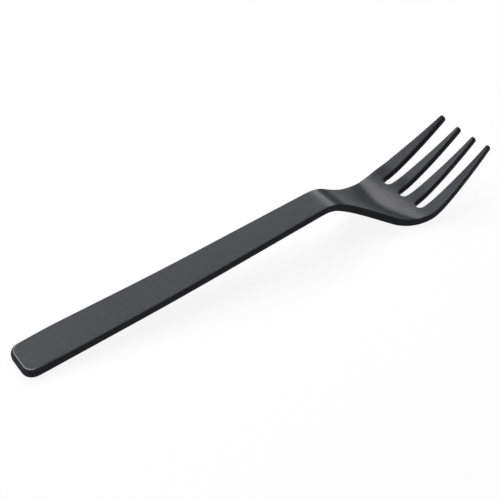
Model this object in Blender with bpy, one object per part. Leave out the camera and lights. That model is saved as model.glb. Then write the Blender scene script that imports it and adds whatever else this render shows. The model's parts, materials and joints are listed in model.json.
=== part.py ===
"""A finger food fork, pressed from one black coated steel sheet.

The fork is drawn as a flat blank first: s runs along the top face from the handle's end to the tips,
and y runs across, with +y on the left of someone who holds the handle. The blank is cut at the places
where its shape changes into handle, neck, bowl and tines, and each of these is bent to the fork's side
profile. Neighbours meet face to face on a flat section of the sheet.

The finished fork lies on a table at Z = 0, tines towards +X. It touches the table with the handle's end
and with the underside of the bowl.
"""

import math

import bmesh
import bpy
from mathutils import Matrix, Vector

MM = 0.001

# Sheet
SHEET_THICKNESS = 1.9 * MM
EDGE_ROUNDING = 0.45 * MM
EDGE_SEGMENTS = 2

# Handle: flat at its end, then bent up very slightly
HANDLE_LENGTH = 71.35 * MM
HANDLE_END_WIDTH = 8.55 * MM
CREST_WIDTH = 6.75 * MM
HANDLE_CORNER_RADIUS = 2.4 * MM
HANDLE_FLAT_LENGTH = 22.9 * MM
HANDLE_BEND_LENGTH = 20.0 * MM
HANDLE_BEND_ANGLE = math.radians(1.93)

# Neck: a rounded bend at the crest, then a straight slope down to the bowl
CREST_RADIUS = 9.85 * MM
NECK_ANGLE = math.radians(32.35)
NECK_LENGTH = 16.5 * MM

# Bowl: a trough across the fork, and the shoulders that widen the sheet to the head's full width
BOWL_RADIUS = 14.45 * MM
BOWL_END_ANGLE = math.radians(22.85)
HEAD_WIDTH = 20.4 * MM
SHOULDER_START = 7.3 * MM
SHOULDER_LENGTH = 26.7 * MM

# Tines: left to right, with a round-bottomed slot between each two
TINE_NAMES = ("tine_outer_left", "tine_inner_left", "tine_inner_right", "tine_outer_right")
TINE_RISE_LENGTH = 17.55 * MM
TINE_END_ANGLE = math.radians(33.85)
SLOT_LENGTH = 22.65 * MM
SLOT_WIDTH = 2.2 * MM
SLOT_SPACING = 5.43 * MM
TIP_WIDTH = 0.94 * MM
TIP_CORNER_RADIUS = 0.36 * MM
TIP_SPACING = 4.89 * MM
TAPER_POWER = 1.24

# Hollow across the head: at the tips, a point at half the head's width stands this far above the middle
DISH_START = 8.2 * MM
DISH_AT_TIPS = 2.13 * MM
DISH_POWER = 1.67

# Finish
COATING_COLOUR = (0.030, 0.031, 0.033, 1.0)
COATING_ROUGHNESS = 0.45
COATING_METALLIC = 0.0

# Fineness of the meshes
HANDLE_ROWS = 14
CORNER_ROWS = 5
CREST_ROWS = 6
NECK_ROWS = 8
BOWL_ROWS = 10
TINE_ROWS = 10
PLAIN_COLUMNS = 6
TINE_COLUMNS = 3
SLOT_COLUMNS = 6

SMOOTH_ANGLE = math.radians(30.0)

# The most that rounding may take: an edge's of a tine's width or the thickness, a tip corner's of its width
EDGE_SHARE = 0.25
TIP_CORNER_SHARE = 0.4

# A run that bends less than this, in radians a metre, counts as straight
STRAIGHT = 1e-9

# Halvings in the search for the angle that the fork rests at
PITCH_HALVINGS = 50

CREST_ARC = CREST_RADIUS * (HANDLE_BEND_ANGLE + NECK_ANGLE)
BOWL_ARC = BOWL_RADIUS * (NECK_ANGLE + BOWL_END_ANGLE)

# The profile as arcs and straight runs: each has its length and the slope of the sheet at its end
PROFILE = (
    (HANDLE_FLAT_LENGTH, 0.0),
    (HANDLE_BEND_LENGTH, HANDLE_BEND_ANGLE),
    (HANDLE_LENGTH - HANDLE_FLAT_LENGTH - HANDLE_BEND_LENGTH, HANDLE_BEND_ANGLE),
    (CREST_ARC, -NECK_ANGLE),
    (NECK_LENGTH, -NECK_ANGLE),
    (BOWL_ARC, BOWL_END_ANGLE),
    (TINE_RISE_LENGTH, TINE_END_ANGLE),
)
CREST_START = HANDLE_LENGTH
CREST_END = CREST_START + CREST_ARC
NECK_END = CREST_END + NECK_LENGTH
TIP_END = sum(length for length, slope in PROFILE)
SLOT_BOTTOM = TIP_END - SLOT_LENGTH
TINE_ROOT = SLOT_BOTTOM + SLOT_WIDTH / 2


def lerp(start, end, share):
    return start + (end - start) * share


def smoothstep(share):
    share = min(max(share, 0.0), 1.0)
    return share * share * (3.0 - 2.0 * share)


def profile_at(s):
    """Where the top face's middle line is at s: its X, its Z and its slope, with the handle's end level."""
    x, z, slope = 0.0, 0.0, 0.0
    for length, end_slope in PROFILE:
        run = min(s, length)
        bend = (end_slope - slope) / length
        reached = slope + bend * run
        if abs(bend) < STRAIGHT:
            x += run * math.cos(slope)
            z += run * math.sin(slope)
        else:
            x += (math.sin(reached) - math.sin(slope)) / bend
            z += (math.cos(slope) - math.cos(reached)) / bend
        slope = reached
        s -= run
        if s <= 0.0:
            break
    return x, z, slope


def dish_at(s, y):
    """How far the hollow across the head lifts the sheet at (s, y)."""
    start = CREST_END + DISH_START
    reach = max(s - start, 0.0) / (TIP_END - start)
    return DISH_AT_TIPS * reach**DISH_POWER * (2.0 * y / HEAD_WIDTH) ** 2


def on_sheet(s, y, depth):
    """The blank's point (s, y), at a depth below the top face, after bending."""
    x, z, slope = profile_at(s)
    lift = dish_at(s, y) - depth
    return Vector((x - math.sin(slope) * lift, y, z + math.cos(slope) * lift))


def half_width(s):
    """Half the blank's width, with the slots taken as filled."""
    handle = lerp(HANDLE_END_WIDTH, CREST_WIDTH, min(s / HANDLE_LENGTH, 1.0)) / 2
    shoulder = smoothstep((s - CREST_START - SHOULDER_START) / SHOULDER_LENGTH)
    return handle + (HEAD_WIDTH - CREST_WIDTH) / 2 * shoulder


def corner_inset(distance, radius):
    """How far a rounded corner stands in from the side, at a distance from the end."""
    short = max(radius - distance, 0.0)
    return radius - math.sqrt(radius * radius - short * short)


def spread(start, end, count):
    """count + 1 evenly spaced values."""
    return [lerp(start, end, i / count) for i in range(count + 1)]


def corner_distances(radius):
    """Distances from an end that give a rounded corner evenly spaced facets."""
    return [radius * (1.0 - math.cos(turn)) for turn in spread(0.0, math.pi / 2, CORNER_ROWS)]


def rows_across(places, half_widths):
    """Rows of plan points from side to side, one for each place along the blank."""
    return [[(s, y) for y in spread(-half, half, PLAIN_COLUMNS)] for s, half in zip(places, half_widths)]


def handle_plan(inset):
    radius = HANDLE_CORNER_RADIUS - inset
    corner = [inset + distance for distance in corner_distances(radius)]
    places = corner + spread(corner[-1], HANDLE_LENGTH, HANDLE_ROWS)[1:]
    halves = [half_width(s) - inset - corner_inset(s - inset, radius) for s in places]
    return rows_across(places, halves)


def neck_plan(inset):
    places = spread(CREST_START, CREST_END, CREST_ROWS) + spread(CREST_END, NECK_END, NECK_ROWS)[1:]
    return rows_across(places, [half_width(s) - inset for s in places])


def slot_centres():
    count = len(TINE_NAMES) - 1
    return [(i - (count - 1) / 2) * SLOT_SPACING for i in range(count)]


def bowl_end(inset):
    """The bowl's last row: straight across each tine's root, and round each slot's bottom."""
    radius = SLOT_WIDTH / 2 + inset
    row = []
    start = -half_width(TINE_ROOT) + inset
    for centre in slot_centres():
        row += [(TINE_ROOT, y) for y in spread(start, centre - radius, TINE_COLUMNS)]
        turns = spread(math.pi, 0.0, SLOT_COLUMNS)[1:-1]
        row += [(TINE_ROOT - radius * math.sin(t), centre + radius * math.cos(t)) for t in turns]
        start = centre + radius
    return row + [(TINE_ROOT, y) for y in spread(start, half_width(TINE_ROOT) - inset, TINE_COLUMNS)]


def bowl_plan(inset):
    end = bowl_end(inset)
    shares = [y / (half_width(s) - inset) for s, y in end]
    rows = []
    for step in spread(0.0, 1.0, BOWL_ROWS):
        places = [lerp(NECK_END, s, step) for s, y in end]
        rows.append([(s, share * (half_width(s) - inset)) for s, share in zip(places, shares)])
    return rows


def tine_edges(index, s):
    """The two sides of a tine at s, as y values. Counted from the right, at -y."""
    place = index - (len(TINE_NAMES) - 1) / 2
    taper = ((s - TINE_ROOT) / (TIP_END - TINE_ROOT)) ** TAPER_POWER
    edges = []
    for side in (-1, 1):
        root = (place + side / 2) * SLOT_SPACING - side * SLOT_WIDTH / 2
        if abs(place + side / 2) > len(slot_centres()) / 2:
            root = side * half_width(s)
        tip = place * TIP_SPACING + side * TIP_WIDTH / 2
        edges.append(lerp(root, tip, taper))
    return edges


def tine_plan(index, inset):
    outer_radius = min(TIP_CORNER_RADIUS, TIP_CORNER_SHARE * TIP_WIDTH)
    tip_inset = min(inset, EDGE_SHARE * TIP_WIDTH, outer_radius / 2)
    radius = outer_radius - tip_inset
    end = TIP_END - tip_inset
    corner = [end - distance for distance in reversed(corner_distances(radius))]
    places = spread(TINE_ROOT, corner[0], TINE_ROWS) + corner[1:]
    rows = []
    for s in places:
        right, left = tine_edges(index, s)
        side = min(inset, EDGE_SHARE * (left - right)) + corner_inset(end - s, radius)
        rows.append([(s, y) for y in spread(right + side, left - side, TINE_COLUMNS)])
    return rows


def edge_rings():
    """(inset, depth) of each ring round the sheet's edge, from the top face to the underside."""
    radius = min(EDGE_ROUNDING, EDGE_SHARE * SHEET_THICKNESS)
    turns = spread(0.0, math.pi / 2, EDGE_SEGMENTS)
    upper = [(radius * (1.0 - math.sin(t)), radius * (1.0 - math.cos(t))) for t in turns]
    return upper + [(inset, SHEET_THICKNESS - depth) for inset, depth in reversed(upper)]


def border_of(rows):
    """The points round the edge of a grid, in order."""
    return [
        *rows[0],
        *(row[-1] for row in rows[1:-1]),
        *reversed(rows[-1]),
        *(row[0] for row in reversed(rows[1:-1])),
    ]


def add_face_grid(shape, plan, depth):
    """Adds one broad face of the sheet and gives back the vertices round its edge."""
    rows = [[shape.verts.new(on_sheet(s, y, depth)) for s, y in row] for row in plan]
    for near, far in zip(rows, rows[1:]):
        for corners in zip(near, near[1:], far[1:], far):
            shape.faces.new(corners)
    return border_of(rows)


def sheet_mesh(name, plan_at):
    """A closed mesh over a plan, with the sheet's thickness and its rounded edges."""
    shape = bmesh.new()
    rings = edge_rings()
    loops = []
    for inset, depth in rings:
        plan = plan_at(inset)
        if (inset, depth) in (rings[0], rings[-1]):
            loops.append(add_face_grid(shape, plan, depth))
        else:
            loops.append([shape.verts.new(on_sheet(s, y, depth)) for s, y in border_of(plan)])
    for upper, lower in zip(loops, loops[1:]):
        for corners in zip(upper, upper[1:] + upper[:1], lower[1:] + lower[:1], lower):
            shape.faces.new(corners)
    bmesh.ops.recalc_face_normals(shape, faces=shape.faces[:])
    mesh = bpy.data.meshes.new(name)
    shape.to_mesh(mesh)
    shape.free()
    return mesh


def coating(name):
    """Black coating on steel, with a satin sheen."""
    material = bpy.data.materials.new(name)
    material.use_nodes = True
    shader = material.node_tree.nodes["Principled BSDF"]
    shader.inputs["Base Color"].default_value = COATING_COLOUR
    shader.inputs["Roughness"].default_value = COATING_ROUGHNESS
    shader.inputs["Metallic"].default_value = COATING_METALLIC
    return material


def add_part(name, plan_at, parent):
    mesh = sheet_mesh(name, plan_at)
    mesh.materials.append(coating(name + "_coating"))
    mesh.shade_smooth()
    mesh.set_sharp_from_angle(angle=SMOOTH_ANGLE)
    part = bpy.data.objects.new(name, mesh)
    part.parent = parent
    bpy.context.scene.collection.objects.link(part)
    return part


def lowest(points, pitch):
    turn = Matrix.Rotation(-pitch, 3, "Y")
    return min((turn @ point).z for point in points)


def rest_pitch(handle, bowl):
    """The angle that the handle rises at when its end and the bowl both touch the table."""
    low, high = 0.0, NECK_ANGLE
    for _ in range(PITCH_HALVINGS):
        pitch = (low + high) / 2
        if lowest(handle, pitch) > lowest(bowl, pitch):
            low = pitch
        else:
            high = pitch
    return pitch


def points_of(parts):
    return [vertex.co.copy() for part in parts for vertex in part.data.vertices]


def lay_on_table(carrier, handle, head):
    """Turns the fork to its rest on the table, with the middle of its length over the origin."""
    pitch = rest_pitch(points_of([handle]), points_of(head))
    turn = Matrix.Rotation(-pitch, 3, "Y")
    points = [turn @ point for point in points_of([handle, *head])]
    middle = (min(p.x for p in points) + max(p.x for p in points)) / 2
    carrier.rotation_euler = turn.to_euler()
    carrier.location = (-middle, 0.0, -min(p.z for p in points))


def main():
    for old in list(bpy.data.objects):
        bpy.data.objects.remove(old)
    carrier = bpy.data.objects.new("fork_at_rest", None)
    bpy.context.scene.collection.objects.link(carrier)
    handle = add_part("handle", handle_plan, carrier)
    head = [add_part("neck", neck_plan, carrier), add_part("bowl", bowl_plan, carrier)]
    for index, name in enumerate(reversed(TINE_NAMES)):
        head.append(add_part(name, lambda inset, index=index: tine_plan(index, inset), carrier))
    lay_on_table(carrier, handle, head)


main()
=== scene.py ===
"""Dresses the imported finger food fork: a sheet is punched, rounded and bent, then coated and set in a studio.

The sheet is modelled once, as the one pressing that the real fork is. It is then parted into the same
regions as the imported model, so that each piece stands for the node of its name. The parted pieces keep the
sheet's own normals, and no seam shows between them.
"""

import json
import math

import bpy
from bpy.props import FloatProperty, FloatVectorProperty, PointerProperty
from mathutils import Matrix, Vector

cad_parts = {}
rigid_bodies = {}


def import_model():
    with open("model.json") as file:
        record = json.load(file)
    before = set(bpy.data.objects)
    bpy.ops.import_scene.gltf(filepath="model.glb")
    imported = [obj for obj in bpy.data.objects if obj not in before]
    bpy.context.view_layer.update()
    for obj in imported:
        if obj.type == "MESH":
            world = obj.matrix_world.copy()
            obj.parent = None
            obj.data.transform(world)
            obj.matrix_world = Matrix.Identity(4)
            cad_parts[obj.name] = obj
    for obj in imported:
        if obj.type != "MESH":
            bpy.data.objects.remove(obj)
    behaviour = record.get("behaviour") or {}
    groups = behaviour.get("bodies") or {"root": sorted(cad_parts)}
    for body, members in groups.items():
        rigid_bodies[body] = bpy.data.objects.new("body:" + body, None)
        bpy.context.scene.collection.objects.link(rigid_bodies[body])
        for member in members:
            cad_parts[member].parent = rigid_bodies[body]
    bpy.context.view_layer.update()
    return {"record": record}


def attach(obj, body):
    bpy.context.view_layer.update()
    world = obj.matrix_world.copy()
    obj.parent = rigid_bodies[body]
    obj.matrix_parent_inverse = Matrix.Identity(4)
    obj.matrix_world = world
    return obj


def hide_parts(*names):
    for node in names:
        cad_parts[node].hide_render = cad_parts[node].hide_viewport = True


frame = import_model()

bl_info = {
    "name": "Finger food fork",
    "version": (1, 0, 0),
    "blender": (4, 5, 0),
    "location": "3D View > Sidebar > Fork",
    "description": "Presses a fork from one sheet, coats it black and sets it in a studio",
    "category": "Add Mesh",
}

MM = 0.001
SHEET_NAME = "fork_sheet"
BODY = "root"

# Faces along the sheet, from the handle's end to the tips
CORNER_ROWS = 6
HANDLE_ROWS = 24
CREST_ROWS = 8
NECK_ROWS = 16
BOWL_ROWS = 18
TINE_ROWS = 18
TIP_ROWS = 5
HANDLE_END_ROW = CORNER_ROWS + HANDLE_ROWS
NECK_END_ROW = HANDLE_END_ROW + CREST_ROWS + NECK_ROWS
TINE_ROOT_ROW = NECK_END_ROW + BOWL_ROWS
ROWS = TINE_ROOT_ROW + TINE_ROWS + TIP_ROWS

# Faces across the sheet
TINES = ("tine_outer_right", "tine_inner_right", "tine_inner_left", "tine_outer_left")
TINE_COLUMNS = 4
SLOT_COLUMNS = 6
PITCH_COLUMNS = TINE_COLUMNS + SLOT_COLUMNS
COLUMNS = len(TINES) * TINE_COLUMNS + (len(TINES) - 1) * SLOT_COLUMNS

# Regions of the sheet, in the order that a face's region number counts them
REGIONS = ("handle", "neck", "bowl", *TINES)
FIRST_TINE = REGIONS.index(TINES[0])

# Rings down the sheet's edge: the share of the rounding that each is set in and set down by, and the face
# that it is set down from, where 0 is the top face, 1 the underside and 0.5 the middle of the edge
EDGE_SEGMENTS = 4
EDGE_TURNS = [step / EDGE_SEGMENTS * math.pi / 2 for step in range(EDGE_SEGMENTS + 1)]
UPPER_RINGS = tuple((1.0 - math.sin(turn), 1.0 - math.cos(turn), 0.0) for turn in EDGE_TURNS)
RINGS = (*UPPER_RINGS, (0.0, 0.0, 0.5), *((inset, drop, 1.0) for inset, drop, side in reversed(UPPER_RINGS)))

# How much of the rounding has the broad faces' finish, where the rest is dull like the cut edge. A tip's nose
# is dull all over.
SATIN_SEGMENTS = 1
TIP_SATIN_SEGMENTS = 0

# The most that rounding may take of a narrow tine's width, and a tip's corner of the tip's width, and how
# much smaller that corner is on the top face, where the rounding starts
EDGE_SHARE = 0.24
CORNER_SHARE = 0.47
CORNER_SHRINK = 0.5

# A run that bends less than this, in radians a metre, counts as straight
STRAIGHT = 1e-9

# The handle_top mount's place along the handle's flat stretch
MOUNT_SHARE = 0.55

# How much longer the lattice's tines are, because smoothing draws their tips in
TIP_ALLOWANCE = 0.27 * MM

# Names of the finishes, and of the shares that the sheet's points carry for them
COATING_NAME = "satin_black_coating"
EDGE_NAME = "dull_black_edge"
# A painted highlight along the rounded edges, brightest round the handle's end
EDGE_PAINTED_HIGHLIGHT = "rubbed"
# Painted shade in the neck's lee, where the coating is also rougher
LEE_PAINTED_SHADE = "sheltered"

# Patterns in the finishes: the range that most of a noise lies in, how light the clouds are on the way from the
# coating's colour to the painted highlight's, and how far the punch's marks are drawn out
NOISE_RANGE = (0.3, 0.7)
CLOUD_SHADE = (0.0, 0.02)
CLOUD_DETAIL = 4.0
GRAIN_DETAIL = 3.0
MARK_STRETCH = (1.0, 1.0, 12.0)

# Painted highlight along the rounded edges, in a light colour: how far it comes and goes along an edge, how
# strong it is round the handle's end and elsewhere, the row where the one starts to ease into the other, and
# the rows that this takes
EDGE_HIGHLIGHT_RANGE = (0.6, 1.0)
EDGE_HIGHLIGHT_AT_END = 1.0
EDGE_HIGHLIGHT_AT_SIDES = 0.1
EDGE_HIGHLIGHT_END_ROW = CORNER_ROWS - 2
EDGE_HIGHLIGHT_FADE_ROWS = 3

# The neck's lee, painted darker as shade and with a rougher coating: stops along the sheet, past the handle and
# past the neck, each with the share of it there, and how much further the lee's end reaches along the right and
# the left side
LEE_SHADE_AT_CREST = ((3.1 * MM, 0.0), (4.0 * MM, 1.0), (5.4 * MM, 1.0), (8.0 * MM, 0.45))
LEE_SHADE_AT_BOWL = ((-6.0 * MM, 0.45), (-1.5 * MM, 0.8), (0.5 * MM, 0.8), (1.7 * MM, 0.0))
LEE_SHADE_SWEEP_RIGHT = 4.4 * MM
LEE_SHADE_SWEEP_LEFT = 1.0 * MM

SHADER_INPUTS = {
    "colour": "Base Color",
    "roughness": "Roughness",
    "gloss": "Specular IOR Level",
    "normal": "Normal",
}

# Studio, in metres, degrees and watts: each softbox's azimuth, elevation, width, height and power
FLOOR_SIZE = 4.0
SOFTBOX_DISTANCE = 0.7
SOFTBOXES = {
    "back_right_softbox": (35.0, 29.0, 0.18, 0.26, 1.05),
    "back_upper_softbox": (45.0, 43.0, 0.16, 0.2, 0.5),
    "back_softbox": (75.0, 50.0, 0.32, 0.16, 1.05),
    "back_left_softbox": (100.0, 47.0, 0.2, 0.2, 0.75),
    "left_softbox": (132.0, 63.0, 0.42, 0.28, 3.8),
}
CAMERA_PLACE = (-0.103689, -0.107759, 0.127879)
CAMERA_TURN = (49.5387, -5.553, -37.4326)
CAMERA_LENS = 64.8
CAMERA_SENSOR = 36.0
CAMERA_NEAR = 0.005


def lerp(start, end, share):
    return start + (end - start) * share


def spread(start, end, count):
    """count + 1 evenly spaced values."""
    return [lerp(start, end, step / count) for step in range(count + 1)]


def smoothstep(share):
    share = min(max(share, 0.0), 1.0)
    return share * share * (3.0 - 2.0 * share)


def fall(share):
    """Falls from 1 to 0, level at both ends and steepest early."""
    return (1.0 - share) ** 3 * (1.0 + 3.0 * share)


def eased(stops, place):
    """The value at a place among stops (place, value), eased from each stop to the next."""
    for (start, before), (stop, after) in zip(stops, stops[1:]):
        if place < stop:
            return lerp(before, after, smoothstep((place - start) / (stop - start)))
    return stops[-1][1]


def length(name, millimetres, description):
    return FloatProperty(
        name=name, description=description, default=millimetres * MM, min=0.0, unit="LENGTH", precision=5
    )


def angle(name, degrees, description):
    return FloatProperty(name=name, description=description, default=math.radians(degrees), subtype="ANGLE")


def plain(name, default, description):
    return FloatProperty(name=name, description=description, default=default, min=0.0)


def colour(name, default, description):
    return FloatVectorProperty(
        name=name, description=description, default=default, size=4, min=0.0, max=1.0, subtype="COLOR"
    )


class ForkSizes(bpy.types.PropertyGroup):
    """Sizes of the sheet before and after bending"""

    sheet_thickness: length("Sheet thickness", 1.9, "Thickness of the steel with its coating")
    end_rounding: length("End rounding", 0.9, "Radius of the top face's edges round the handle's end")
    end_rounding_length: length("End rounding length", 7.0, "Length over which that eases into the sides")
    handle_rounding: length("Handle rounding", 0.33, "Radius of the top face's edges along the handle")
    bowl_rounding: length("Bowl rounding", 0.2, "Radius of the top face's edges at the neck and bowl")
    tine_rounding: length("Tine rounding", 0.45, "Radius of the top face's edges at the tines")
    under_rounding: length("Under rounding", 0.45, "Radius of the underside's edges")
    handle_length: length("Handle length", 71.35, "From the handle's end to the fold at the crest")
    handle_end_width: length("Handle end width", 8.55, "Width at the handle's end")
    crest_width: length("Crest width", 6.75, "Width at the crest, the fork's narrowest place")
    handle_corner_radius: length("Handle corner radius", 2.4, "Radius of the two corners of the handle's end")
    handle_flat_length: length("Handle flat length", 22.9, "Length of the flat stretch at the handle's end")
    handle_bend_length: length("Handle bend length", 20.0, "Length of the handle's slight upward bend")
    handle_bend_angle: angle("Handle bend angle", 1.93, "How far the handle bends upward")
    crest_radius: length("Crest radius", 9.85, "Radius of the fold between handle and neck, on the top face")
    neck_angle: angle("Neck angle", 32.35, "How steeply the neck falls, from the flat stretch")
    neck_length: length("Neck length", 16.5, "Length of the neck's straight slope")
    bowl_radius: length("Bowl radius", 14.45, "Radius of the trough, on the top face")
    bowl_end_angle: angle("Bowl end angle", 22.85, "How steeply the sheet rises where the trough ends")
    head_width: length("Head width", 20.4, "Width across the shoulders")
    shoulder_start: length("Shoulder start", 7.3, "From the crest to where the sheet starts to widen")
    shoulder_length: length("Shoulder length", 26.7, "Length over which the sheet widens")
    tine_rise_length: length("Tine rise length", 17.55, "Length over which the tines turn up further")
    tine_end_angle: angle("Tine end angle", 33.85, "How steeply the tips rise, from the flat stretch")
    slot_length: length("Slot length", 22.65, "From a slot's bottom to the tips")
    slot_width: length("Slot width", 2.2, "Width of a slot at its round bottom")
    slot_spacing: length("Slot spacing", 5.43, "From the middle of one slot to the next")
    tip_width: length("Tip width", 0.94, "Width of a tine at its tip")
    tip_corner_radius: length("Tip corner radius", 0.44, "Radius of a tip's corners, seen from above")
    tip_nose_radius: length("Tip nose radius", 0.85, "Radius of a tip's nose, seen from the side")
    tip_spacing: length("Tip spacing", 4.89, "From the middle of one tip to the next")
    taper_power: plain("Taper power", 1.24, "Above 1, a tine stays wide further towards its tip")
    dish_start: length("Dish start", 8.2, "From the crest's end to where the head starts to dish")
    dish_at_tips: length("Dish at tips", 2.13, "How far the head's sides stand above its middle, at the tips")
    dish_power: plain("Dish power", 1.67, "Above 1, the dish deepens more towards the tips")
    hollow_depth: length("Hollow depth", 0.85, "How deep the bowl's hollow is pressed into the top face")
    hollow_place: length("Hollow place", 2.4, "From the hollow's deepest line to the neck's end")
    hollow_run_in: length("Hollow run-in", 14.0, "Length over which the hollow deepens along the neck")
    hollow_run_out: length("Hollow run-out", 10.0, "Length over which the hollow ends in the bowl")
    hollow_power: plain("Hollow power", 1.4, "How soon the hollow grows shallow towards the sides")


class CoatingLook(bpy.types.PropertyGroup):
    """Finish of the black coating"""

    base_colour: colour("Coating colour", (0.03, 0.0309, 0.035, 1.0), "Colour of the broad faces")
    # Painted highlight: the light colour put on the rounded edges
    painted_highlight_colour: colour("Rubbed colour", (0.36, 0.365, 0.378, 1.0), "Colour where edges are rubbed")
    # Painted shade: the dark colour put in the neck's lee
    lee_painted_shade_colour: colour("Sheltered colour", (0.014, 0.0144, 0.0163, 1.0), "Colour in the neck's lee")
    edge_colour: colour("Edge colour", (0.024, 0.0245, 0.026, 1.0), "Colour of the cut edges")
    edge_marks_colour: colour("Marks colour", (0.036, 0.0367, 0.0385, 1.0), "Colour of the punch's marks")
    roughness: plain("Roughness", 0.28, "Roughness of the broad faces")
    roughness_spread: plain("Roughness spread", 0.03, "How much rougher or smoother the clouds are")
    # Roughness in the neck's lee, under the painted shade
    lee_roughness: plain("Sheltered roughness", 0.7, "Roughness in the neck's lee")
    # Roughness under the painted edge highlight
    edge_highlight_roughness: plain("Rubbed roughness", 0.26, "Roughness where rounded edges are rubbed")
    edge_roughness: plain("Edge roughness", 0.5, "Roughness of the cut edges")
    gloss: plain("Gloss", 0.075, "How strongly the broad faces reflect")
    edge_gloss: plain("Edge gloss", 0.02, "How strongly the cut edges reflect")
    grain_size: length("Grain size", 0.35, "Size of the coating's fine grain")
    grain_depth: length("Grain depth", 0.014, "Depth of the coating's fine grain")
    cloud_size: length("Cloud size", 6.0, "Size of the clouds in the coating")
    mark_size: length("Mark size", 0.12, "Spacing of the punch's marks along the cut edges")
    mark_depth: length("Mark depth", 0.02, "Depth of the punch's marks")


class StudioLook(bpy.types.PropertyGroup):
    """Floor, backdrop and light round the fork"""

    floor_colour: colour("Floor colour", (0.8, 0.8, 0.8, 1.0), "Colour of the pale floor")
    white_share: plain("White share", 0.9, "How far the floor shows as plain white, over its shadow")
    fill_strength: plain("Fill strength", 0.04, "Even light from all round")
    light_scale: plain("Light scale", 1.0, "Scales the power of every softbox")


class Pressing:
    """The flat blank and the press that bends it. s runs along the blank, and y across it, +y to the left."""

    def __init__(self, sizes):
        self.sizes = sizes
        crest_arc = sizes.crest_radius * (sizes.handle_bend_angle + sizes.neck_angle)
        bowl_arc = sizes.bowl_radius * (sizes.neck_angle + sizes.bowl_end_angle)
        straight = sizes.handle_length - sizes.handle_flat_length - sizes.handle_bend_length
        self.runs = (
            (sizes.handle_flat_length, 0.0),
            (sizes.handle_bend_length, sizes.handle_bend_angle),
            (straight, sizes.handle_bend_angle),
            (crest_arc, -sizes.neck_angle),
            (sizes.neck_length, -sizes.neck_angle),
            (bowl_arc, sizes.bowl_end_angle),
            (sizes.tine_rise_length, sizes.tine_end_angle),
        )
        self.crest_end = sizes.handle_length + crest_arc
        self.neck_end = self.crest_end + sizes.neck_length
        self.tip_end = sum(run for run, slope in self.runs)
        self.tine_root = self.tip_end - sizes.slot_length + sizes.slot_width / 2
        self.slot_centres = [(slot - 1) * sizes.slot_spacing for slot in range(len(TINES) - 1)]
        self.lay_on_mount()

    def lay_on_mount(self):
        """Takes the fork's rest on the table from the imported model's mount on the handle's flat top."""
        mount = next(m for m in frame["record"]["mounts"] if m["name"] == "handle_top")
        across, _, up = mount["axis"]
        self.turn = Matrix.Rotation(math.atan2(across, up), 3, "Y")
        on_handle = Vector((MOUNT_SHARE * self.sizes.handle_flat_length, 0.0, 0.0))
        self.place = Vector(mount["pos_m"]) - self.turn @ on_handle

    def profile_at(self, s):
        """The X, Z and slope of the top face's middle line at s, with the handle's flat stretch level."""
        x, z, slope = 0.0, 0.0, 0.0
        for run, end_slope in self.runs:
            done = min(s, run)
            bend = (end_slope - slope) / run
            reached = slope + bend * done
            if abs(bend) < STRAIGHT:
                x += done * math.cos(slope)
                z += done * math.sin(slope)
            else:
                x += (math.sin(reached) - math.sin(slope)) / bend
                z += (math.cos(slope) - math.cos(reached)) / bend
            slope = reached
            s -= done
            if s <= 0.0:
                break
        return x, z, slope

    def bent(self, s, y, depth):
        """Where the blank's point (s, y), at a depth below its top face, lies on the table after bending."""
        sizes = self.sizes
        start = self.crest_end + sizes.dish_start
        reach = max(s - start, 0.0) / (self.tip_end - start)
        dish = sizes.dish_at_tips * reach**sizes.dish_power * (2.0 * y / sizes.head_width) ** 2
        x, z, slope = self.profile_at(s)
        lift = dish - depth - self.hollow(s, y) * (1.0 - depth / sizes.sheet_thickness)
        point = Vector((x - math.sin(slope) * lift, y, z + math.cos(slope) * lift))
        return self.turn @ point + self.place

    def hollow(self, s, y):
        """How deep the bowl's crescent hollow is in the top face. It leaves the underside as it was."""
        sizes = self.sizes
        side = min((y / self.half_width(s)) ** 2, 1.0)
        past = s - self.neck_end + sizes.hollow_place
        depth = sizes.hollow_depth * (1.0 - side) ** sizes.hollow_power
        if past < 0.0:
            return depth * smoothstep(1.0 + past / sizes.hollow_run_in)
        return depth * fall(min(past / sizes.hollow_run_out, 1.0))

    def lee_painted_shade_share(self, s, y):
        """How far a point of the top face lies in the neck's lee, where the coating is rougher and painted
        darker as shade.
        """
        side = min((y / self.half_width(s)) ** 2, 1.0)
        sweep = LEE_SHADE_SWEEP_RIGHT if y < 0.0 else LEE_SHADE_SWEEP_LEFT
        bowl = self.neck_end + sweep * side
        stops = [(self.sizes.handle_length + place, share) for place, share in LEE_SHADE_AT_CREST]
        stops += [(bowl + place, share) for place, share in LEE_SHADE_AT_BOWL]
        return eased(stops, s)

    def half_width(self, s):
        """Half the blank's width, with the slots taken as filled."""
        sizes = self.sizes
        handle = lerp(sizes.handle_end_width, sizes.crest_width, min(s / sizes.handle_length, 1.0)) / 2
        shoulder = smoothstep((s - sizes.handle_length - sizes.shoulder_start) / sizes.shoulder_length)
        return handle + (sizes.head_width - sizes.crest_width) / 2 * shoulder

    def rounding(self, s):
        """Radius of the top face's edges at s, eased from one stretch of the sheet to the next."""
        sizes = self.sizes
        corner = sizes.handle_corner_radius
        stops = (
            (0.0, sizes.end_rounding),
            (corner, sizes.end_rounding),
            (corner + sizes.end_rounding_length, sizes.handle_rounding),
            (sizes.handle_length, sizes.handle_rounding),
            (self.crest_end, sizes.bowl_rounding),
            (self.neck_end, sizes.bowl_rounding),
            (self.tine_root, sizes.tine_rounding),
        )
        return eased(stops, s)

    def ring_rounding(self, ring, s):
        return self.sizes.under_rounding if ring[2] == 1.0 else self.rounding(s)

    def inset(self, ring, s):
        return ring[0] * self.ring_rounding(ring, s)

    def depth(self, ring, s):
        inset, drop, side = ring
        return self.sizes.sheet_thickness * side + drop * self.ring_rounding(ring, s) * (1.0 - 2.0 * side)

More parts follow.
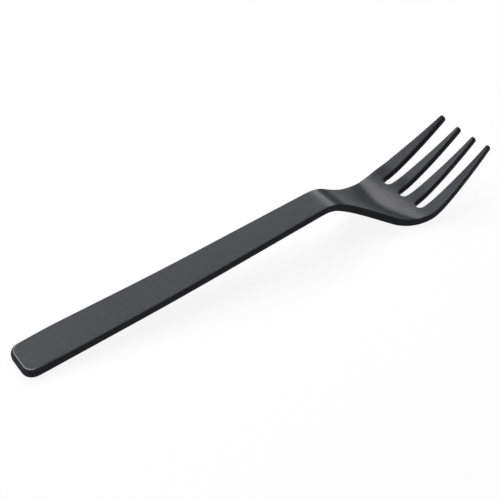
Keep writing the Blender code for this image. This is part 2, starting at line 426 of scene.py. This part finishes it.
    def corner(self, radius, rows):
        """Rows round a corner: how far each is from the end, and how far it stands in from the side."""
        turns = spread(0.0, math.pi / 2, rows)
        return [(radius * (1.0 - math.cos(turn)), radius * (1.0 - math.sin(turn))) for turn in turns]

    def slot_row(self, inset):
        """The bowl's last row: straight across each tine's root, and round each slot's bottom."""
        root = self.tine_root
        half = self.half_width(root) - inset
        radius = self.sizes.slot_width / 2 + inset
        row = []
        start = -half
        for centre in self.slot_centres:
            row += [(root, y) for y in spread(start, centre - radius, TINE_COLUMNS)]
            turns = spread(math.pi, 0.0, SLOT_COLUMNS)[1:-1]
            row += [(root - radius * math.sin(turn), centre + radius * math.cos(turn)) for turn in turns]
            start = centre + radius
        return row + [(root, y) for y in spread(start, half, TINE_COLUMNS)]

    def tine_sides(self, tine, s):
        """The two sides of a tine at s, counted from the right."""
        sizes = self.sizes
        place = tine - (len(TINES) - 1) / 2
        taper = ((s - self.tine_root) / (self.tip_end - self.tine_root)) ** sizes.taper_power
        sides = []
        for side in (-1, 1):
            root = (place + side / 2) * sizes.slot_spacing - side * sizes.slot_width / 2
            if abs(place + side / 2) > len(self.slot_centres) / 2:
                root = side * self.half_width(s)
            tip = place * sizes.tip_spacing + side * sizes.tip_width / 2
            sides.append(lerp(root, tip, taper))
        return sides

    def tine_rows(self, tine, ring):
        """A tine's rows after its root: points (s, y) from its right side to its left."""
        sizes = self.sizes
        nose = min(sizes.tip_nose_radius, sizes.sheet_thickness / 2)
        down = self.depth(ring, self.tip_end)
        short = max(nose - min(down, sizes.sheet_thickness - down), 0.0)
        end = self.tip_end + TIP_ALLOWANCE - nose + math.sqrt(nose**2 - short**2)
        outer = min(sizes.tip_corner_radius, CORNER_SHARE * sizes.tip_width)
        radius = outer * (1.0 - ring[0] * CORNER_SHRINK)
        corner = self.corner(radius, TIP_ROWS)
        places = [(s, 0.0) for s in spread(self.tine_root, end - radius, TINE_ROWS)[1:]]
        places += [(end - away, in_from) for away, in_from in reversed(corner[:-1])]
        rows = []
        for s, in_from in places:
            right, left = self.tine_sides(tine, s)
            inset = ring[0] * min(self.ring_rounding(ring, s), EDGE_SHARE * (left - right)) + in_from
            rows.append([(s, y) for y in spread(right + inset, left - inset, TINE_COLUMNS)])
        return rows

    def plan(self, ring):
        """The blank seen from above at one ring: rows of points (s, y) by column, without those in a slot."""
        sizes = self.sizes
        end_inset = self.inset(ring, 0.0)
        corner = self.corner(sizes.handle_corner_radius - end_inset, CORNER_ROWS)
        places = [(end_inset + away, in_from) for away, in_from in corner]
        for end, rows in (
            (sizes.handle_length, HANDLE_ROWS),
            (self.crest_end, CREST_ROWS),
            (self.neck_end, NECK_ROWS),
        ):
            places += [(s, 0.0) for s in spread(places[-1][0], end, rows)[1:]]
        slot_row = self.slot_row(self.inset(ring, self.tine_root))
        shares = [y / (self.half_width(s) - self.inset(ring, s)) for s, y in slot_row]
        even = spread(-1.0, 1.0, COLUMNS)
        rows = []
        for s, in_from in places:
            half = self.half_width(s) - self.inset(ring, s) - in_from
            gather = smoothstep((s - self.crest_end) / sizes.neck_length)
            rows.append([(s, lerp(a, b, gather) * half) for a, b in zip(even, shares)])
        for step in spread(0.0, 1.0, BOWL_ROWS)[1:]:
            row = []
            for (end, _), share in zip(slot_row, shares):
                s = lerp(self.neck_end, end, step)
                row.append((s, share * (self.half_width(s) - self.inset(ring, s))))
            rows.append(row)
        for across in zip(*(self.tine_rows(tine, ring) for tine in range(len(TINES)))):
            row = [None] * (COLUMNS + 1)
            for tine, points in enumerate(across):
                first = tine * PITCH_COLUMNS
                row[first : first + TINE_COLUMNS + 1] = points
            rows.append(row)
        return rows


def select_only(piece):
    bpy.ops.object.select_all(action="DESELECT")
    piece.select_set(True)
    bpy.context.view_layer.objects.active = piece


def select_faces(piece, wanted):
    """Selects the faces that wanted picks, and opens the piece in edit mode on them."""
    select_only(piece)
    bpy.ops.object.mode_set(mode="EDIT")
    bpy.ops.mesh.select_mode(type="FACE")
    bpy.ops.mesh.select_all(action="DESELECT")
    bpy.ops.object.mode_set(mode="OBJECT")
    for face in piece.data.polygons:
        face.select = wanted(face)
    bpy.ops.object.mode_set(mode="EDIT")


def in_slot(face):
    column = math.floor(face.center.y) % PITCH_COLUMNS
    return face.center.x > TINE_ROOT_ROW and column >= TINE_COLUMNS


def region_of(face):
    """The number of the region that a face of the lattice belongs to."""
    row = face.center.x
    tine = int((face.center.y + SLOT_COLUMNS / 2) // PITCH_COLUMNS)
    if row > TINE_ROOT_ROW:
        return FIRST_TINE + tine
    if row > NECK_END_ROW:
        return REGIONS.index("bowl")
    if row > HANDLE_END_ROW:
        return REGIONS.index("neck")
    return REGIONS.index("handle")


def is_edge(face):
    """Whether a face of the lattice is on the sheet's cut edge, or on the dull part of the rounding."""
    satin = TIP_SATIN_SEGMENTS if face.center.x > ROWS - TIP_ROWS else SATIN_SEGMENTS
    return satin < -face.center.z < len(RINGS) - 1 - satin


def painted_highlight_share(vertex):
    """How strong the painted highlight is at a point of the lattice: only where a broad face's finish ends."""
    if round(-vertex.co.z) not in (SATIN_SEGMENTS, len(RINGS) - 1 - SATIN_SEGMENTS):
        return 0.0
    fade = smoothstep((vertex.co.x - EDGE_HIGHLIGHT_END_ROW) / EDGE_HIGHLIGHT_FADE_ROWS)
    return lerp(EDGE_HIGHLIGHT_AT_END, EDGE_HIGHLIGHT_AT_SIDES, fade)


def add_lattice():
    """A block of faces that stands for the blank: one unit a row, a column and a ring, with the slots cut."""
    bpy.ops.object.select_all(action="DESELECT")
    bpy.ops.mesh.primitive_grid_add(
        x_subdivisions=ROWS, y_subdivisions=COLUMNS, size=1.0, location=(ROWS / 2, COLUMNS / 2, 0.0)
    )
    sheet = bpy.context.object
    sheet.name = SHEET_NAME
    sheet.scale = (ROWS, COLUMNS, 1.0)
    bpy.ops.object.transform_apply(location=True, rotation=False, scale=True)
    select_faces(sheet, in_slot)
    bpy.ops.mesh.delete(type="FACE")
    bpy.ops.mesh.select_all(action="SELECT")
    for _ in RINGS[1:]:
        bpy.ops.mesh.extrude_region_move(TRANSFORM_OT_translate={"value": (0.0, 0.0, -1.0)})
    bpy.ops.mesh.select_all(action="SELECT")
    bpy.ops.mesh.normals_make_consistent(inside=False)
    bpy.ops.object.mode_set(mode="OBJECT")
    return sheet


def press(sheet, pressing):
    """Moves the lattice's points to their places on the rounded, bent sheet, and marks those in the lee for
    painted shade.
    """
    plans = [pressing.plan(ring) for ring in RINGS]
    sheltered = sheet.data.attributes[LEE_PAINTED_SHADE].data
    for vertex in sheet.data.vertices:
        row, column, ring = round(vertex.co.x), round(vertex.co.y), round(-vertex.co.z)
        s, y = plans[ring][row][column]
        # Painted shade in the neck's lee, on the top face and the satin part of its rounding only
        sheltered[vertex.index].value = pressing.lee_painted_shade_share(s, y) if ring <= SATIN_SEGMENTS else 0.0
        vertex.co = pressing.bent(s, y, pressing.depth(RINGS[ring], s))


class FORK_OT_sheet(bpy.types.Operator):
    """Punch, round and bend the sheet that the pieces are parted from"""

    bl_idname = "fork.sheet"
    bl_label = "Press the sheet"

    def execute(self, context):
        sheet = add_lattice()
        mesh = sheet.data
        region = mesh.attributes.new("region", "INT", "FACE")
        for face, number in zip(mesh.polygons, region.data):
            number.value = region_of(face)
            face.material_index = int(is_edge(face))
        # Painted highlight where a broad face's finish ends on a rounded edge
        rubbed = mesh.attributes.new(EDGE_PAINTED_HIGHLIGHT, "FLOAT", "POINT")
        for vertex, share in zip(mesh.vertices, rubbed.data):
            share.value = painted_highlight_share(vertex)
        mesh.attributes.new(LEE_PAINTED_SHADE, "FLOAT", "POINT")
        press(sheet, Pressing(context.scene.fork_sizes))
        select_only(sheet)
        smoother = sheet.modifiers.new("smoother", "SUBSURF")
        smoother.levels = 1
        smoother.render_levels = 1
        bpy.ops.object.modifier_apply(modifier=smoother.name)
        bpy.ops.object.shade_smooth()
        normals = mesh.attributes.new("sheet_normal", "FLOAT_VECTOR", "POINT")
        for vertex, normal in zip(mesh.vertices, normals.data):
            normal.vector = vertex.normal
        return {"FINISHED"}


def close_cuts(piece):
    """Closes the flat sections where a region was parted from its neighbours, with three-sided faces."""
    select_only(piece)
    bpy.ops.object.mode_set(mode="EDIT")
    bpy.ops.mesh.select_mode(type="EDGE")
    bpy.ops.mesh.select_all(action="DESELECT")
    bpy.ops.mesh.select_non_manifold()
    bpy.ops.mesh.fill_holes(sides=0)
    bpy.ops.mesh.select_mode(type="FACE")
    bpy.ops.mesh.select_face_by_sides(number=4, type="GREATER", extend=False)
    bpy.ops.mesh.quads_convert_to_tris(ngon_method="BEAUTY")
    bpy.ops.mesh.select_all(action="SELECT")
    bpy.ops.mesh.normals_make_consistent(inside=False)
    bpy.ops.object.mode_set(mode="OBJECT")


def keep_sheet_normals(piece):
    """Shades a piece with the whole sheet's normals, and its sections, the three-sided faces, flat."""
    mesh = piece.data
    sheet_normals = [tuple(item.vector) for item in mesh.attributes["sheet_normal"].data]
    corners = [None] * len(mesh.loops)
    for face in mesh.polygons:
        cut = len(face.vertices) == 3
        face.use_smooth = not cut
        for loop in face.loop_indices:
            corners[loop] = tuple(face.normal) if cut else sheet_normals[mesh.loops[loop].vertex_index]
    mesh.normals_split_custom_set(corners)
    for name in ("sheet_normal", "region"):
        mesh.attributes.remove(mesh.attributes[name])


def part_off(node):
    """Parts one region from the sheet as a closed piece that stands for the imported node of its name."""
    sheet = bpy.data.objects[SHEET_NAME]
    number = REGIONS.index(node)
    region = [item.value for item in sheet.data.attributes["region"].data]
    before = set(bpy.data.objects)
    select_faces(sheet, lambda face: region[face.index] == number)
    bpy.ops.mesh.separate(type="SELECTED")
    bpy.ops.object.mode_set(mode="OBJECT")
    piece = (set(bpy.data.objects) - before).pop()
    piece.name = "pressed_" + node
    piece.data.name = piece.name
    close_cuts(piece)
    keep_sheet_normals(piece)
    piece.data.materials.append(coating())
    piece.data.materials.append(edge_coating())
    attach(piece, BODY)
    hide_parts(node)
    if not sheet.data.polygons:
        bpy.data.objects.remove(sheet)


class FORK_OT_handle(bpy.types.Operator):
    """Part the handle from the sheet"""

    bl_idname = "fork.handle"
    bl_label = "Handle"

    def execute(self, context):
        part_off("handle")
        return {"FINISHED"}


class FORK_OT_neck(bpy.types.Operator):
    """Part the neck, with the fold at the crest, from the sheet"""

    bl_idname = "fork.neck"
    bl_label = "Neck"

    def execute(self, context):
        part_off("neck")
        return {"FINISHED"}


class FORK_OT_bowl(bpy.types.Operator):
    """Part the bowl, with the slots' round bottoms, from the sheet"""

    bl_idname = "fork.bowl"
    bl_label = "Bowl"

    def execute(self, context):
        part_off("bowl")
        return {"FINISHED"}


class FORK_OT_tines(bpy.types.Operator):
    """Part the four tines from the sheet"""

    bl_idname = "fork.tines"
    bl_label = "Tines"

    def execute(self, context):
        for node in TINES:
            part_off(node)
        return {"FINISHED"}


class Finish:
    """A material, and the nodes that it is mixed from."""

    def __init__(self, name):
        self.material = bpy.data.materials.new(name)
        self.material.use_nodes = True
        self.tree = self.material.node_tree
        self.shader = self.tree.nodes["Principled BSDF"]

    def node(self, kind, inputs, **settings):
        """Adds a node, and gives each of its named inputs a value or another node's output."""
        made = self.tree.nodes.new("ShaderNode" + kind)
        for key, value in settings.items():
            setattr(made, key, value)
        for key, value in inputs.items():
            self.put(made.inputs[key], value)
        return made

    def put(self, socket, value):
        if isinstance(value, bpy.types.NodeSocket):
            self.tree.links.new(value, socket)
        else:
            socket.default_value = value

    def noise(self, size, detail, stretch=(1.0, 1.0, 1.0)):
        """Noise with features of about a size, drawn out along the axes where stretch is above 1."""
        place = self.node("TexCoord", {}).outputs["Object"]
        scale = [1.0 / (size * share) for share in stretch]
        place = self.node("Mapping", {"Vector": place, "Scale": scale}).outputs["Vector"]
        return self.node("TexNoise", {"Vector": place, "Scale": 1.0, "Detail": detail}).outputs["Fac"]

    def carry(self, value, given, wanted):
        """Carries a range of values to another range."""
        inputs = dict(zip(("From Min", "From Max", "To Min", "To Max"), (*given, *wanted)))
        return self.node("MapRange", {"Value": value, **inputs}).outputs["Result"]

    def sum(self, value, factor, addend):
        node = self.node("Math", {}, operation="MULTIPLY_ADD")
        for socket, given in zip(node.inputs, (value, factor, addend)):
            self.put(socket, given)
        return node.outputs["Value"]

    def ramp(self, share, start, end):
        """Goes from one colour to another by a share."""
        node = self.node("ValToRGB", {"Fac": share})
        for stop, tone in zip(node.color_ramp.elements, (start, end)):
            stop.color = tone
        return node.outputs["Color"]

    def mix(self, share, start, end):
        node = self.node("Mix", {}, data_type="RGBA")
        sockets = (node.inputs["Factor"], *(socket for socket in node.inputs if socket.type == "RGBA"))
        for socket, given in zip(sockets, (share, start, end)):
            self.put(socket, given)
        return next(socket for socket in node.outputs if socket.type == "RGBA")

    def bump(self, height, depth):
        return self.node("Bump", {"Height": height, "Distance": depth}).outputs["Normal"]

    def dress(self, **inputs):
        """Sets the shader's inputs, by names in small letters."""
        for key, value in inputs.items():
            self.put(self.shader.inputs[SHADER_INPUTS[key]], value)
        return self.material


def coating():
    """Satin black coating of the broad faces: clouded and grained, with a painted highlight along edges, and
    rougher with painted shade in the lee.
    """
    made = bpy.data.materials.get(COATING_NAME)
    if made:
        return made
    look = bpy.context.scene.fork_coating
    finish = Finish(COATING_NAME)
    clouds = finish.noise(look.cloud_size, CLOUD_DETAIL)
    grain = finish.noise(look.grain_size, GRAIN_DETAIL)
    # Painted highlight along the rounded edges: a lighter colour, and slightly smoother
    rubbed = finish.node("Attribute", {}, attribute_name=EDGE_PAINTED_HIGHLIGHT).outputs["Fac"]
    rubbed = finish.sum(rubbed, finish.carry(clouds, NOISE_RANGE, EDGE_HIGHLIGHT_RANGE), 0.0)
    shade = finish.carry(clouds, NOISE_RANGE, CLOUD_SHADE)
    low = look.roughness - look.roughness_spread
    high = look.roughness + look.roughness_spread
    rough = finish.carry(clouds, NOISE_RANGE, (low, high))
    # Painted shade in the neck's lee: a darker colour, and rougher
    sheltered = finish.node("Attribute", {}, attribute_name=LEE_PAINTED_SHADE).outputs["Fac"]
    rough = finish.carry(sheltered, (0.0, 1.0), (rough, look.lee_roughness))
    tone = finish.ramp(finish.sum(rubbed, 1.0, shade), look.base_colour, look.painted_highlight_colour)
    return finish.dress(
        colour=finish.mix(sheltered, tone, look.lee_painted_shade_colour),
        roughness=finish.carry(rubbed, (0.0, 1.0), (rough, look.edge_highlight_roughness)),
        gloss=look.gloss,
        normal=finish.bump(grain, look.grain_depth),
    )


def edge_coating():
    """Dull black coating of the cut edges, with the fine marks that the punch leaves down them."""
    made = bpy.data.materials.get(EDGE_NAME)
    if made:
        return made
    look = bpy.context.scene.fork_coating
    finish = Finish(EDGE_NAME)
    marks = finish.noise(look.mark_size, GRAIN_DETAIL, MARK_STRETCH)
    share = finish.carry(marks, NOISE_RANGE, (0.0, 1.0))
    high = look.edge_roughness + look.roughness_spread
    return finish.dress(
        colour=finish.ramp(share, look.edge_colour, look.edge_marks_colour),
        roughness=finish.carry(share, (0.0, 1.0), (high, look.edge_roughness)),
        gloss=look.edge_gloss,
        normal=finish.bump(marks, look.mark_depth),
    )


def background_seen(tree):
    """1 for a ray that shows the background, plainly or mirrored, and 0 for one that only gathers light."""
    path = tree.nodes.new("ShaderNodeLightPath")
    seen = path.outputs["Is Camera Ray"]
    for kind in ("Is Glossy Ray", "Is Transmission Ray"):
        either = tree.nodes.new("ShaderNodeMath")
        either.operation = "MAXIMUM"
        tree.links.new(seen, either.inputs[0])
        tree.links.new(path.outputs[kind], either.inputs[1])
        seen = either.outputs["Value"]
    return seen


def carried(tree, value, low, high):
    """Carries a share of 0 to 1 to a range."""
    node = tree.nodes.new("ShaderNodeMapRange")
    node.inputs["To Min"].default_value = low
    node.inputs["To Max"].default_value = high
    tree.links.new(value, node.inputs["Value"])
    return node.outputs["Result"]


def floor_finish(look):
    """A pale floor that shows as white, and keeps a soft share of the fork's shadow."""
    material = bpy.data.materials.new("pale_floor")
    material.use_nodes = True
    tree = material.node_tree
    tree.nodes.clear()
    lit = tree.nodes.new("ShaderNodeBsdfDiffuse")
    lit.inputs["Color"].default_value = look.floor_colour
    white = tree.nodes.new("ShaderNodeEmission")
    mixed = tree.nodes.new("ShaderNodeMixShader")
    output = tree.nodes.new("ShaderNodeOutputMaterial")
    share = carried(tree, background_seen(tree), 0.0, look.white_share)
    for source, socket in zip((share, lit.outputs["BSDF"], white.outputs["Emission"]), mixed.inputs):
        tree.links.new(source, socket)
    tree.links.new(mixed.outputs["Shader"], output.inputs["Surface"])
    return material


def add_floor(look):
    bpy.ops.object.select_all(action="DESELECT")
    bpy.ops.mesh.primitive_plane_add(size=FLOOR_SIZE)
    floor = bpy.context.object
    floor.name = "studio_floor"
    floor.data.materials.append(floor_finish(look))


def add_backdrop(look):
    """A world that shows as white, and gives a little even light."""
    world = bpy.data.worlds.new("studio_backdrop")
    world.use_nodes = True
    tree = world.node_tree
    sky = tree.nodes["Background"]
    sky.inputs["Color"].default_value = (1.0, 1.0, 1.0, 1.0)
    tree.links.new(carried(tree, background_seen(tree), look.fill_strength, 1.0), sky.inputs["Strength"])
    bpy.context.scene.world = world


def add_softbox(name, azimuth, elevation, width, height, power):
    """A rectangular lamp that faces the fork's middle."""
    across = math.cos(math.radians(elevation))
    toward = Vector(
        (
            across * math.cos(math.radians(azimuth)),
            across * math.sin(math.radians(azimuth)),
            math.sin(math.radians(elevation)),
        )
    )
    bpy.ops.object.light_add(type="AREA", location=toward * SOFTBOX_DISTANCE)
    lamp = bpy.context.object
    lamp.name = name
    lamp.rotation_euler = toward.to_track_quat("Z", "Y").to_euler()
    lamp.visible_camera = False
    lamp.data.shape = "RECTANGLE"
    lamp.data.size = width
    lamp.data.size_y = height
    lamp.data.energy = power


class FORK_OT_stage(bpy.types.Operator):
    """Set up the floor, the backdrop, the softboxes and the camera"""

    bl_idname = "fork.stage"
    bl_label = "Studio"

    def execute(self, context):
        scene = context.scene
        look = scene.fork_studio
        add_floor(look)
        add_backdrop(look)
        for name, (azimuth, elevation, width, height, power) in SOFTBOXES.items():
            add_softbox(name, azimuth, elevation, width, height, power * look.light_scale)
        turn = [math.radians(degrees) for degrees in CAMERA_TURN]
        bpy.ops.object.camera_add(location=CAMERA_PLACE, rotation=turn)
        camera = context.object
        camera.data.lens = CAMERA_LENS
        camera.data.sensor_width = CAMERA_SENSOR
        camera.data.clip_start = CAMERA_NEAR
        scene.camera = camera
        scene.view_settings.view_transform = "Standard"
        return {"FINISHED"}


class FORK_PT_panel(bpy.types.Panel):
    """Lists the steps that make the fork"""

    bl_idname = "FORK_PT_panel"
    bl_label = "Finger food fork"
    bl_space_type = "VIEW_3D"
    bl_region_type = "UI"
    bl_category = "Fork"

    def draw(self, context):
        for operator in OPERATORS:
            self.layout.operator(operator.bl_idname)


OPERATORS = (FORK_OT_sheet, FORK_OT_handle, FORK_OT_neck, FORK_OT_bowl, FORK_OT_tines, FORK_OT_stage)
CLASSES = (ForkSizes, CoatingLook, StudioLook, *OPERATORS, FORK_PT_panel)


def register():
    for made in CLASSES:
        bpy.utils.register_class(made)
    bpy.types.Scene.fork_sizes = PointerProperty(type=ForkSizes)
    bpy.types.Scene.fork_coating = PointerProperty(type=CoatingLook)
    bpy.types.Scene.fork_studio = PointerProperty(type=StudioLook)


def unregister():
    del bpy.types.Scene.fork_studio
    del bpy.types.Scene.fork_coating
    del bpy.types.Scene.fork_sizes
    for made in reversed(CLASSES):
        bpy.utils.unregister_class(made)


def main():
    register()
    bpy.ops.fork.sheet()
    bpy.ops.fork.handle()
    bpy.ops.fork.neck()
    bpy.ops.fork.bowl()
    bpy.ops.fork.tines()
    bpy.ops.fork.stage()


if __name__ == "__main__":
    main()
